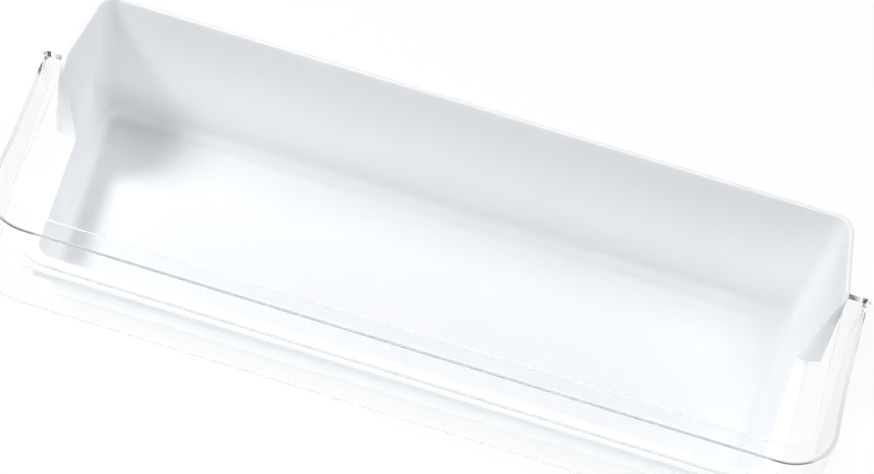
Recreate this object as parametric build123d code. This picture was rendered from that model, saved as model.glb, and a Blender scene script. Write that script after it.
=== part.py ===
from build123d import *
import os
from math import radians, tan

# A door shelf of a refrigerator: an opaque tray and the clear guard that snaps round its front.
# X runs along the shelf, the front faces -Y, Z is up and the underside of the floor lies at Z = 0.

# Overall sizes
overall_depth = 149.0
tray_height = 90.0
rim_height = 34.5

# Tray walls
wall = 2.5
floor_thickness = 2.5
back_draft = 0.5
front_draft = 6.0
cove_radius = 8.0
rear_corner_radius = 8.0
front_corner_radius = 9.0

# Half length of the tray's inside at the top of its back, and how the ends change to the front and down
top_half_back = 206.3
end_flare = 0.8
ear_spread = 5.0
rim_taper = 4.75
end_draft = 11.0

# Tall ends and the rim ledge, with distances measured forwards from the back face
ear_length = 57.0
ear_top_radius = 8.0
ledge_step = 1.0
ledge_taper = 3.0
ledge_width = 6.3
ledge_thickness = 2.5
ledge_corner_radius = 18.0
edge_bevel = 0.6

# Hook pockets outside the tall ends, between two cheeks and under a roof
cheek_thickness = 2.5
cheek_reach = 10.0
cheek_tip = 0.8
cheek_top_margin = 1.0
cheek_foot_rise = 2.5
pocket_length = 34.0
pocket_height = 24.0
pocket_roof = 2.5

# Clear guard
clear_wall = 2.2
guard_corner_radius = 28.0
guard_bottom = 3.0
guard_front_height = 61.7
arm_rear_height = 75.0
arm_length = 110.0
arm_rise_start = 44.0
arm_rise_angle = 4.0
skirt_rear_height = 30.5
flange_width = 11.8
end_lip = 2.5
lip_height = 10.0
guard_edge_bevel = 0.5

# Fit of the guard round the tray and on its rim
guard_side_room = 19.7
fit_clearance = 0.2
rib_thickness = 2.0
rib_overlap = 3.0
rim_gap = 3.0
bead_height = 4.0
bead_bite = 0.8

# Room that cutting bodies take past the faces they cut
overrun = 10.0

# A face counts as a top face where its unit normal rises by more than this
top_face_rise = 0.5


def y_at(distance):
    """Y of a place that lies this far in front of the back face."""
    return overall_depth / 2 - distance


def between(start, end, share):
    return start + (end - start) * share


# Places that follow from the sizes
rim_half_back = top_half_back - end_flare
ear_half_front = top_half_back + ear_spread
ledge_half_rear = top_half_back + ledge_step
ledge_half_front = ledge_half_rear - ledge_taper
guard_half = top_half_back + guard_side_room
guard_width = 2 * guard_half
back_lean = tan(radians(back_draft))
back_at_top = wall
back_at_rim = wall + (tray_height - edge_bevel - rim_height) * back_lean
guard_inside = overall_depth - clear_wall
rim_outside = guard_inside - rim_gap
front_at_rim = rim_outside - ledge_width
rim_half_front = rim_half_back - (front_at_rim - back_at_rim) * tan(radians(rim_taper))


def rim_half(distance, offset=0.0):
    """Half length of the inside at rim height, or of a face that lies an offset outside it."""
    back = back_at_rim - offset
    front = front_at_rim + offset
    share = (distance - back) / (front - back)
    return between(rim_half_back, rim_half_front, share) + offset


def top_half(distance):
    """Half length between the tall ends along their top edges."""
    share = (distance - back_at_top) / (ear_length - back_at_top)
    return between(top_half_back, ear_half_front, share)


def ear_outside(distance, height):
    """X of the outer face of a tall end, which is ruled from the rim to its top edge."""
    share = (height - rim_height) / (tray_height - rim_height)
    return between(rim_half(distance, wall), top_half(distance) + wall, share)


def plan(height, back, back_half, front, front_half):
    """A trapezoid seen from above, with the back and front edges along X."""
    corners = [
        (-back_half, y_at(back)),
        (-front_half, y_at(front)),
        (front_half, y_at(front)),
        (back_half, y_at(back)),
    ]
    return Pos(0, 0, height) * make_face(Polyline(*corners, close=True))


def side_face(*points):
    """A face in the YZ plane from points of distance and height."""
    return make_face(Polyline(*[(0, y_at(d), h) for d, h in points], close=True))


def across(face, width):
    """A face of the YZ plane made solid to both sides of the middle."""
    return extrude(face, amount=width / 2, dir=(1, 0, 0), both=True)


def tub(offset, bottom, bottom_round):
    """The low part of the tray as a solid, grown outwards by an offset, with a coved bottom edge."""
    rim_plan = plan(
        rim_height,
        back_at_rim - offset,
        rim_half_back + offset,
        front_at_rim + offset,
        rim_half_front + offset,
    )
    body = extrude(rim_plan, amount=rim_height - bottom, dir=(0, 0, -1))
    rim_plane = -Plane.XY.offset(rim_height)
    body = draft(body.faces().sort_by(Axis.Y)[-1], rim_plane, back_draft)
    body = draft(body.faces().sort_by(Axis.Y)[0], rim_plane, front_draft)
    body = draft(body.faces().sort_by(Axis.X)[0], rim_plane, end_draft)
    body = draft(body.faces().sort_by(Axis.X)[-1], rim_plane, end_draft)
    middle = (rim_height + bottom) / 2
    corners = body.edges().filter_by_position(Axis.Z, middle - overrun / 2, middle + overrun / 2)
    body = fillet(corners.group_by(Axis.Y)[-1], rear_corner_radius + offset)
    corners = body.edges().filter_by_position(Axis.Z, middle - overrun / 2, middle + overrun / 2)
    body = fillet(corners.group_by(Axis.Y)[0], front_corner_radius + offset)
    return fillet(body.faces().sort_by(Axis.Z)[0].edges(), bottom_round)


def top_plan(height, offset, front):
    """The plan between the tall ends near their top edges, grown outwards by an offset."""
    back = back_at_top - offset
    face = plan(height, back, top_half_back + offset, front, top_half(front) + offset)
    return fillet(face.vertices().group_by(Axis.Y)[-1], rear_corner_radius + offset)


def ears(offset, top_offset, front, low_body):
    """The tall back and ends as a solid on the rim of the low part, with a bevel along the top edge."""
    room = Pos(0, y_at(front) + overall_depth / 2, rim_height) * Rectangle(2 * guard_width, overall_depth)
    rim_plan = low_body.faces().sort_by(Axis.Z)[-1] & room
    below_bevel = top_plan(tray_height - edge_bevel, offset, front)
    return loft([rim_plan, below_bevel, top_plan(tray_height, top_offset, front)], ruled=True)


def ear_profile():
    """Side view of the tall ends, with the rounded corner at the top of their front edge."""
    face = side_face(
        (-overrun, rim_height - overrun),
        (ear_length, rim_height - overrun),
        (ear_length, tray_height),
        (-overrun, tray_height),
    )
    corner = face.vertices().group_by(Axis.Z)[-1].sort_by(Axis.Y)[0]
    return fillet(corner, ear_top_radius)


def cheek(front):
    """A triangular plate outside the right tall end, from the ledge up to the wall's own flare."""
    low = rim_height - ledge_thickness
    high = tray_height - ear_top_radius - cheek_top_margin
    foot = rim_height + cheek_foot_rise
    root = wall / 2
    triangle = make_face(
        Polyline(
            (ear_outside(front, low) - root, y_at(front), low),
            (ear_outside(front, high) - root, y_at(front), high),
            (ear_outside(front, high) + cheek_tip, y_at(front), high),
            (ear_outside(front, rim_height) + cheek_reach, y_at(front), foot),
            (ear_outside(front, low), y_at(front), low),
            close=True,
        )
    )
    return extrude(triangle, amount=cheek_thickness, dir=(0, 1, 0))


def pocket_top():
    """The roof between the cheeks, which hangs on the lug of the door liner."""
    rear = ear_length - cheek_thickness - pocket_length
    low = rim_height + pocket_height
    high = low + pocket_roof
    apex = tray_height - ear_top_radius - cheek_top_margin
    foot = rim_height + cheek_foot_rise
    share = (high - foot) / (apex - foot)
    foot_outside = ear_outside(ear_length, rim_height) + cheek_reach
    outside = between(foot_outside, ear_outside(ear_length, apex) + cheek_tip, share)
    root = wall / 2
    plate = make_face(
        Polyline(
            (ear_outside(rear, low) - root, y_at(rear), low),
            (ear_outside(ear_length, low) - root, y_at(ear_length - cheek_thickness), low),
            (outside, y_at(ear_length - cheek_thickness), low),
            (outside, y_at(rear), low),
            close=True,
        )
    )
    return extrude(plate, amount=pocket_roof, dir=(0, 0, 1))


def rim_ledge():
    """The flat ledge that runs round the low wall from one front cheek to the other."""
    rear = ear_length - cheek_thickness
    outline = make_face(
        Polyline(
            (-ledge_half_rear, y_at(rear)),
            (-ledge_half_front, y_at(rim_outside)),
            (ledge_half_front, y_at(rim_outside)),
            (ledge_half_rear, y_at(rear)),
            close=True,
        )
    )
    front_corners = outline.vertices().group_by(Axis.Y)[0]
    outline = fillet(front_corners, ledge_corner_radius)
    return extrude(Pos(0, 0, rim_height - ledge_thickness) * outline, amount=ledge_thickness)


def make_tray():
    outer_tub = tub(wall, 0.0, cove_radius + wall)
    inner_tub = tub(0.0, floor_thickness, cove_radius)
    outer_ears = ears(wall, wall - edge_bevel, ear_length, outer_tub)
    shell = outer_tub + (outer_ears & across(ear_profile(), guard_width))
    shell += rim_ledge()
    shell -= inner_tub
    shell -= ears(0.0, edge_bevel, ear_length + overrun, inner_tub)
    rear_cheek = ear_length - cheek_thickness - pocket_length
    fittings = cheek(ear_length) + cheek(rear_cheek) + pocket_top()
    return shell + fittings + mirror(fittings, about=Plane.YZ)


def guard_plan(inset):
    """The guard's outline seen from above, open at the rear, moved inwards by an inset."""
    half = guard_half - inset
    front = overall_depth - inset
    rear = overall_depth - arm_length
    outline = make_face(
        Polyline(
            (-half, y_at(rear)),
            (-half, y_at(front)),
            (half, y_at(front)),
            (half, y_at(rear)),
            close=True,
        )
    )
    return fillet(outline.vertices().group_by(Axis.Y)[0], guard_corner_radius - inset)


def guard_inner(inset):
    """The room inside the guard's outline, moved inwards by an inset."""
    return extrude(guard_plan(inset), amount=tray_height)


def arm_top(drop):
    """The top edge from the front to the arm's rear end, a flat run and a rising curve."""
    rise_start = overall_depth - arm_rise_start
    rear = overall_depth - arm_length
    front_run = Line((0, y_at(overall_depth), guard_front_height - drop),
                     (0, y_at(rise_start), guard_front_height - drop))
    slope = tan(radians(arm_rise_angle))
    rise = Spline(
        (0, y_at(rise_start), guard_front_height - drop),
        (0, y_at(rear), arm_rear_height - drop),
        tangents=[(0, 1, 0), (0, 1, slope)],
    )
    return [front_run, rise]


def guard_profile():
    """Side view of the guard: flat front part, rising arm, and a skirt that sweeps up to the rear."""
    rear = overall_depth - arm_length
    sweep_start = overall_depth - guard_corner_radius
    skirt_low = arm_rear_height - skirt_rear_height
    top = arm_top(0.0)
    end = Line((0, y_at(rear), arm_rear_height), (0, y_at(rear), skirt_low))
    sweep = Spline(
        (0, y_at(rear), skirt_low),
        (0, y_at(sweep_start), guard_bottom),
        tangents=[(0, -1, 0), (0, -1, 0)],
    )
    foot = Line((0, y_at(sweep_start), guard_bottom), (0, y_at(overall_depth), guard_bottom))
    front = Line((0, y_at(overall_depth), guard_bottom),
                 (0, y_at(overall_depth), guard_front_height))
    return make_face(top + [end, sweep, foot, front])


def guard_block():
    """The guard's outer shape as one block, with its outer top edge bevelled."""
    block = extrude(guard_plan(0.0), amount=tray_height) & across(guard_profile(), guard_width)
    tops = block.faces().filter_by(lambda face: face.normal_at().Z > top_face_rise)
    front = y_at(overall_depth) + guard_edge_bevel
    outline = tops.edges().filter_by(
        lambda edge: edge.bounding_box().size.Y > guard_edge_bevel or edge.center().Y < front
    )
    return chamfer(outline, guard_edge_bevel)


def flange_profile():
    """Side view of the top flange, a strip of one wall under the top edge."""
    rear = overall_depth - arm_length
    top = arm_top(0.0)
    low = arm_top(clear_wall)
    rear_end = Line((0, y_at(rear), arm_rear_height), (0, y_at(rear), arm_rear_height - clear_wall))
    front_end = Line((0, y_at(overall_depth), guard_front_height),
                     (0, y_at(overall_depth), guard_front_height - clear_wall))
    return make_face(top + [rear_end] + low + [front_end])


def arm_end():
    """The web that closes the right arm's rear end, a triangle with a small lip outside the skin."""
    rear = overall_depth - arm_length
    root = clear_wall / 2
    top = arm_rear_height - root
    outline = make_face(
        Polyline(
            (guard_half - flange_width, y_at(rear), top),
            (guard_half + end_lip, y_at(rear), top),
            (guard_half + end_lip, y_at(rear), top - lip_height),
            (guard_half - root, y_at(rear), arm_rear_height - skirt_rear_height),
            close=True,
        )
    )
    web = extrude(outline, amount=clear_wall, dir=(0, -1, 0))
    return web & across(guard_profile(), guard_width + 2 * end_lip)


def seating_rib():
    """The rib inside the front skin that lies on the rim ledge."""
    low = rim_height + fit_clearance
    half = guard_half - guard_corner_radius
    section = side_face(
        (guard_inside + clear_wall / 2, low),
        (rim_outside - rib_overlap, low),
        (rim_outside - rib_overlap, low + rib_thickness),
        (guard_inside + clear_wall / 2, low + rib_thickness),
    )
    return across(section, 2 * half)


def snap_bead():
    """The wedge-shaped bead inside the front skin that catches under the rim ledge."""
    top = rim_height - ledge_thickness - fit_clearance
    half = guard_half - guard_corner_radius
    section = side_face(
        (guard_inside + clear_wall / 2, top),
        (rim_outside - bead_bite, top),
        (guard_inside, top - bead_height),
        (guard_inside + clear_wall / 2, top - bead_height),
    )
    return across(section, 2 * half)


def make_guard():
    block = guard_block()
    guard = block - guard_inner(clear_wall)
    guard += (block & across(flange_profile(), guard_width)) - guard_inner(flange_width)
    end = arm_end()
    guard += end
    guard += mirror(end, about=Plane.YZ)
    return guard + seating_rib() + snap_bead()


os.makedirs("parts", exist_ok=True)
export_step(make_tray(), "parts/tray.step")
export_step(make_guard(), "parts/front_guard.step")
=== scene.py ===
from math import cos, radians, sin

import bpy
from mathutils import Matrix, Vector

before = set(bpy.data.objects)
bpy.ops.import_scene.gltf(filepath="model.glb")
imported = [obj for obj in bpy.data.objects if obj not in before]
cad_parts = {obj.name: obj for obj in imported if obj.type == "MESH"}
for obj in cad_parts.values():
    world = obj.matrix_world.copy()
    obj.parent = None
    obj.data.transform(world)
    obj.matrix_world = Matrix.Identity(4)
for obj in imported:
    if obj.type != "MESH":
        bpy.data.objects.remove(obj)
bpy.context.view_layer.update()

# Lengths are in metres and angles in degrees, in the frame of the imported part.
MILLIMETRE = 0.001

# Camera: it looks down on the shelf from the front, turned about its own axis as in the photograph
CAMERA_AZIMUTH = 3.17
CAMERA_ELEVATION = 49.34
CAMERA_ROLL = 14.5
CAMERA_DISTANCE = 1.384
CAMERA_AIM = Vector((-0.0011, 0.0374, 0.020))
CAMERA_LENS = 105.0
SENSOR_WIDTH = 36.0

# Light: a lamp at the left, a broad soft one overhead, a weak one low in front, and an even fill
LAMP_DISTANCE = 1.6
LEFT_DIRECTION = Vector((-0.62, -0.16, 0.76))
LEFT_SIZE = 0.4
LEFT_POWER = 16.4
OVERHEAD_DIRECTION = Vector((0.30, 0.11, 0.94))
OVERHEAD_SIZE = 1.2
OVERHEAD_POWER = 16.2
FRONT_DIRECTION = Vector((0.0, -1.0, 0.10))
FRONT_SIZE = 0.5
FRONT_POWER = 4.9
FILL_COLOUR = (0.96, 0.98, 1.0)
FILL_STRENGTH = 0.02
SURROUND_COLOUR = (0.93, 0.94, 0.95)

# Bounces that light may take inside the clear walls
CLEAR_BOUNCES = 32
GLOSSY_BOUNCES = 24

# Floor: white paper, and the share of plain white that the eye sees in it
FLOOR_HALF = 6.0
FLOOR_COLOUR = (0.93, 0.93, 0.93)
FLOOR_LIFT = 0.88

# Tray edges: the small round that a mould leaves on a sharp edge
EDGE_WELD = 0.004 * MILLIMETRE
EDGE_ROUND = 0.35 * MILLIMETRE
EDGE_ANGLE = 35.0
EDGE_STEPS = 2
EDGE_SHADING_WEIGHT = 100

# Noise: nearly all its values lie between these two, and its scales are in features per metre
NOISE_LOW = 0.2
NOISE_HIGH = 0.8
FINE_DETAIL = 3.0
SKIN_DETAIL = 2.0
SMOOTH_DETAIL = 1.0
EVEN_STRETCH = (1.0, 1.0, 1.0)
BUMP_STRENGTH = 0.5

# Tray: satin white moulded plastic that lets light through its thin walls
TRAY_COLOUR = (0.858, 0.880, 0.912)
TRAY_SHADE = (0.848, 0.871, 0.904)
TRAY_ROUGHNESS = (0.34, 0.42)
TRAY_IOR = 1.57
TRAY_SCATTER = 1.0
TRAY_SCATTER_RADIUS = (1.0, 1.0, 1.0)
TRAY_SCATTER_DEPTH = 6.0 * MILLIMETRE
TRAY_CLOUD_SCALE = 14.0
TRAY_SMEAR_SCALE = 55.0
TRAY_SMEAR_STRETCH = (0.35, 1.0, 1.0)
TRAY_SKIN_SCALE = 900.0
TRAY_SKIN_HEIGHT = 0.008 * MILLIMETRE
TRAY_SINK_SCALE = 30.0
TRAY_SINK_HEIGHT = 0.05 * MILLIMETRE

# Guard: polished clear plastic, a little grey along its edges
GUARD_TINT = (0.985, 0.99, 0.99)
GUARD_IOR = 1.58
GUARD_CLEARNESS = 1.0
GUARD_ROUGHNESS = (0.03, 0.07)
GUARD_DEPTH_COLOUR = (0.83, 0.84, 0.85)
GUARD_DEPTH_DENSITY = 22.0
GUARD_SMEAR_SCALE = 40.0
GUARD_FLOW_SCALE = 22.0
GUARD_FLOW_STRETCH = (0.5, 1.0, 1.0)
GUARD_FLOW_HEIGHT = 0.06 * MILLIMETRE


def rgba(colour):
    """A colour as the sockets take it, fully opaque."""
    return (*colour, 1.0)


def new_material(name):
    """A material with an empty node tree and its output node."""
    material = bpy.data.materials.new(name)
    material.use_nodes = True
    tree = material.node_tree
    tree.nodes.clear()
    return material, tree, tree.nodes.new("ShaderNodeOutputMaterial")


def noise(tree, scale, detail=FINE_DETAIL, stretch=EVEN_STRETCH):
    """Noise in the part's own frame."""
    place = tree.nodes.new("ShaderNodeTexCoord")
    mapping = tree.nodes.new("ShaderNodeMapping")
    mapping.inputs["Scale"].default_value = stretch
    texture = tree.nodes.new("ShaderNodeTexNoise")
    texture.inputs["Scale"].default_value = scale
    texture.inputs["Detail"].default_value = detail
    tree.links.new(place.outputs["Object"], mapping.inputs["Vector"])
    tree.links.new(mapping.outputs["Vector"], texture.inputs["Vector"])
    return texture.outputs["Fac"]


def spread(tree, value, low, high):
    """A noise value spread over a range of numbers."""
    node = tree.nodes.new("ShaderNodeMapRange")
    node.inputs["From Min"].default_value = NOISE_LOW
    node.inputs["From Max"].default_value = NOISE_HIGH
    node.inputs["To Min"].default_value = low
    node.inputs["To Max"].default_value = high
    tree.links.new(value, node.inputs["Value"])
    return node.outputs["Result"]


def colour_between(tree, value, first, second):
    """A colour that wanders between two with a noise value."""
    ramp = tree.nodes.new("ShaderNodeValToRGB")
    ramp.color_ramp.elements[0].position = NOISE_LOW
    ramp.color_ramp.elements[0].color = rgba(first)
    ramp.color_ramp.elements[1].position = NOISE_HIGH
    ramp.color_ramp.elements[1].color = rgba(second)
    tree.links.new(value, ramp.inputs["Fac"])
    return ramp.outputs["Color"]


def bump(tree, value, height, below=None):
    """A bump of a given height, laid over another bump where there is one."""
    node = tree.nodes.new("ShaderNodeBump")
    node.inputs["Strength"].default_value = BUMP_STRENGTH
    node.inputs["Distance"].default_value = height
    tree.links.new(value, node.inputs["Height"])
    if below is not None:
        tree.links.new(below, node.inputs["Normal"])
    return node.outputs["Normal"]


def mixed(tree, share, first, second):
    """Two shaders mixed by the share of the second."""
    mix = tree.nodes.new("ShaderNodeMixShader")
    tree.links.new(share, mix.inputs["Fac"])
    tree.links.new(first, mix.inputs[1])
    tree.links.new(second, mix.inputs[2])
    return mix.outputs["Shader"]


def larger(tree, first, second):
    """The larger of two values."""
    node = tree.nodes.new("ShaderNodeMath")
    node.operation = "MAXIMUM"
    tree.links.new(first, node.inputs[0])
    tree.links.new(second, node.inputs[1])
    return node.outputs["Value"]


def seen_rays(tree):
    """One for rays that show the surroundings to the eye, straight or through gloss and clear plastic."""
    path = tree.nodes.new("ShaderNodeLightPath")
    outside = larger(tree, path.outputs["Is Camera Ray"], path.outputs["Is Glossy Ray"])
    return larger(tree, outside, path.outputs["Is Transmission Ray"])


def tray_material():
    """White plastic with faint clouds, smears of gloss, shallow sinks and a fine moulded skin."""
    material, tree, output = new_material("tray_white_plastic")
    shader = tree.nodes.new("ShaderNodeBsdfPrincipled")
    shader.inputs["IOR"].default_value = TRAY_IOR
    shader.inputs["Subsurface Weight"].default_value = TRAY_SCATTER
    shader.inputs["Subsurface Radius"].default_value = TRAY_SCATTER_RADIUS
    shader.inputs["Subsurface Scale"].default_value = TRAY_SCATTER_DEPTH
    cloud = noise(tree, TRAY_CLOUD_SCALE)
    smear = noise(tree, TRAY_SMEAR_SCALE, stretch=TRAY_SMEAR_STRETCH)
    skin = noise(tree, TRAY_SKIN_SCALE, detail=SKIN_DETAIL)
    sink = noise(tree, TRAY_SINK_SCALE, detail=SMOOTH_DETAIL)
    tree.links.new(colour_between(tree, cloud, TRAY_COLOUR, TRAY_SHADE), shader.inputs["Base Color"])
    tree.links.new(spread(tree, smear, *TRAY_ROUGHNESS), shader.inputs["Roughness"])
    wave = bump(tree, sink, TRAY_SINK_HEIGHT)
    tree.links.new(bump(tree, skin, TRAY_SKIN_HEIGHT, below=wave), shader.inputs["Normal"])
    tree.links.new(shader.outputs["BSDF"], output.inputs["Surface"])
    return material


def guard_material():
    """Clear plastic that lets the lamps' light through and greys with depth."""
    material, tree, output = new_material("guard_clear_plastic")
    shader = tree.nodes.new("ShaderNodeBsdfPrincipled")
    shader.inputs["Base Color"].default_value = rgba(GUARD_TINT)
    shader.inputs["IOR"].default_value = GUARD_IOR
    shader.inputs["Transmission Weight"].default_value = GUARD_CLEARNESS
    smear = noise(tree, GUARD_SMEAR_SCALE)
    flow = noise(tree, GUARD_FLOW_SCALE, detail=SMOOTH_DETAIL, stretch=GUARD_FLOW_STRETCH)
    tree.links.new(spread(tree, smear, *GUARD_ROUGHNESS), shader.inputs["Roughness"])
    tree.links.new(bump(tree, flow, GUARD_FLOW_HEIGHT), shader.inputs["Normal"])
    clear = tree.nodes.new("ShaderNodeBsdfTransparent")
    clear.inputs["Color"].default_value = rgba(GUARD_TINT)
    path = tree.nodes.new("ShaderNodeLightPath")
    surface = mixed(tree, path.outputs["Is Shadow Ray"], shader.outputs["BSDF"], clear.outputs["BSDF"])
    tree.links.new(surface, output.inputs["Surface"])
    depth = tree.nodes.new("ShaderNodeVolumeAbsorption")
    depth.inputs["Color"].default_value = rgba(GUARD_DEPTH_COLOUR)
    depth.inputs["Density"].default_value = GUARD_DEPTH_DENSITY
    tree.links.new(depth.outputs["Volume"], output.inputs["Volume"])
    return material


def floor_material():
    """White paper whose lit part reads as the white background, with the shadow kept."""
    material, tree, output = new_material("floor_paper")
    paper = tree.nodes.new("ShaderNodeBsdfDiffuse")
    paper.inputs["Color"].default_value = rgba(FLOOR_COLOUR)
    white = tree.nodes.new("ShaderNodeEmission")
    share = tree.nodes.new("ShaderNodeMath")
    share.operation = "MULTIPLY"
    share.inputs[1].default_value = FLOOR_LIFT
    tree.links.new(seen_rays(tree), share.inputs[0])
    surface = mixed(tree, share.outputs["Value"], paper.outputs["BSDF"], white.outputs["Emission"])
    tree.links.new(surface, output.inputs["Surface"])
    return material


def add_floor():
    """A square floor under the part, for the picture alone."""
    half = FLOOR_HALF
    corners = [(-half, -half, 0), (half, -half, 0), (half, half, 0), (-half, half, 0)]
    mesh = bpy.data.meshes.new("floor")
    mesh.from_pydata(corners, [], [range(len(corners))])
    mesh.materials.append(floor_material())
    floor = bpy.data.objects.new("floor", mesh)
    bpy.context.scene.collection.objects.link(floor)


def add_world():
    """Even fill light, and a pale surround for the eye."""
    world = bpy.data.worlds.new("studio")
    bpy.context.scene.world = world
    world.use_nodes = True
    tree = world.node_tree
    tree.nodes.clear()
    output = tree.nodes.new("ShaderNodeOutputWorld")
    fill = tree.nodes.new("ShaderNodeBackground")
    fill.inputs["Color"].default_value = rgba(FILL_COLOUR)
    fill.inputs["Strength"].default_value = FILL_STRENGTH
    surround = tree.nodes.new("ShaderNodeBackground")
    surround.inputs["Color"].default_value = rgba(SURROUND_COLOUR)
    light = mixed(tree, seen_rays(tree), fill.outputs["Background"], surround.outputs["Background"])
    tree.links.new(light, output.inputs["Surface"])


def add_lamp(name, direction, size, power, mirrored=True):
    """A round soft lamp that faces the part, and whether gloss and clear plastic show its image."""
    lamp = bpy.data.lights.new(name, "AREA")
    lamp.shape = "DISK"
    lamp.size = size
    lamp.energy = power
    piece = bpy.data.objects.new(name, lamp)
    towards = direction.normalized()
    piece.location = towards * LAMP_DISTANCE
    piece.rotation_euler = towards.to_track_quat("Z", "Y").to_euler()
    piece.visible_glossy = mirrored
    piece.visible_transmission = mirrored
    bpy.context.scene.collection.objects.link(piece)


def add_camera():
    """A camera that faces its aim from the given angles, turned about its line of sight by the roll."""
    azimuth = radians(CAMERA_AZIMUTH)
    elevation = radians(CAMERA_ELEVATION)
    roll = radians(CAMERA_ROLL)
    away = Vector((sin(azimuth) * cos(elevation), -cos(azimuth) * cos(elevation), sin(elevation)))
    level = Vector((cos(azimuth), sin(azimuth), 0.0))
    upright = away.cross(level)
    right = level * cos(roll) + upright * sin(roll)
    up = upright * cos(roll) - level * sin(roll)
    place = Matrix((right, up, away)).transposed().to_4x4()
    place.translation = CAMERA_AIM + away * CAMERA_DISTANCE
    lens = bpy.data.cameras.new("camera")
    lens.sensor_fit = "HORIZONTAL"
    lens.sensor_width = SENSOR_WIDTH
    lens.lens = CAMERA_LENS
    camera = bpy.data.objects.new("camera", lens)
    camera.matrix_world = place
    bpy.context.scene.collection.objects.link(camera)
    bpy.context.scene.camera = camera


def round_edges(piece):
    """Welds the seams between the faces and rounds the sharp edges a little."""
    weld = piece.modifiers.new("weld", "WELD")
    weld.merge_threshold = EDGE_WELD
    edges = piece.modifiers.new("edges", "BEVEL")
    edges.width = EDGE_ROUND
    edges.segments = EDGE_STEPS
    edges.limit_method = "ANGLE"
    edges.angle_limit = radians(EDGE_ANGLE)
    edges.miter_outer = "MITER_ARC"
    shading = piece.modifiers.new("shading", "WEIGHTED_NORMAL")
    shading.weight = EDGE_SHADING_WEIGHT


def dress(node, material):
    """A CAD node takes its finished material."""
    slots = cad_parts[node].data.materials
    slots.clear()
    slots.append(material)


dress("tray", tray_material())
dress("front_guard", guard_material())
round_edges(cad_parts["tray"])
add_floor()
add_world()
add_lamp("left_lamp", LEFT_DIRECTION, LEFT_SIZE, LEFT_POWER, mirrored=False)
add_lamp("overhead_lamp", OVERHEAD_DIRECTION, OVERHEAD_SIZE, OVERHEAD_POWER, mirrored=False)
add_lamp("front_lamp", FRONT_DIRECTION, FRONT_SIZE, FRONT_POWER)
add_camera()
bpy.context.scene.view_settings.view_transform = "Standard"
bpy.context.scene.cycles.max_bounces = CLEAR_BOUNCES
bpy.context.scene.cycles.transmission_bounces = CLEAR_BOUNCES
bpy.context.scene.cycles.glossy_bounces = GLOSSY_BOUNCES
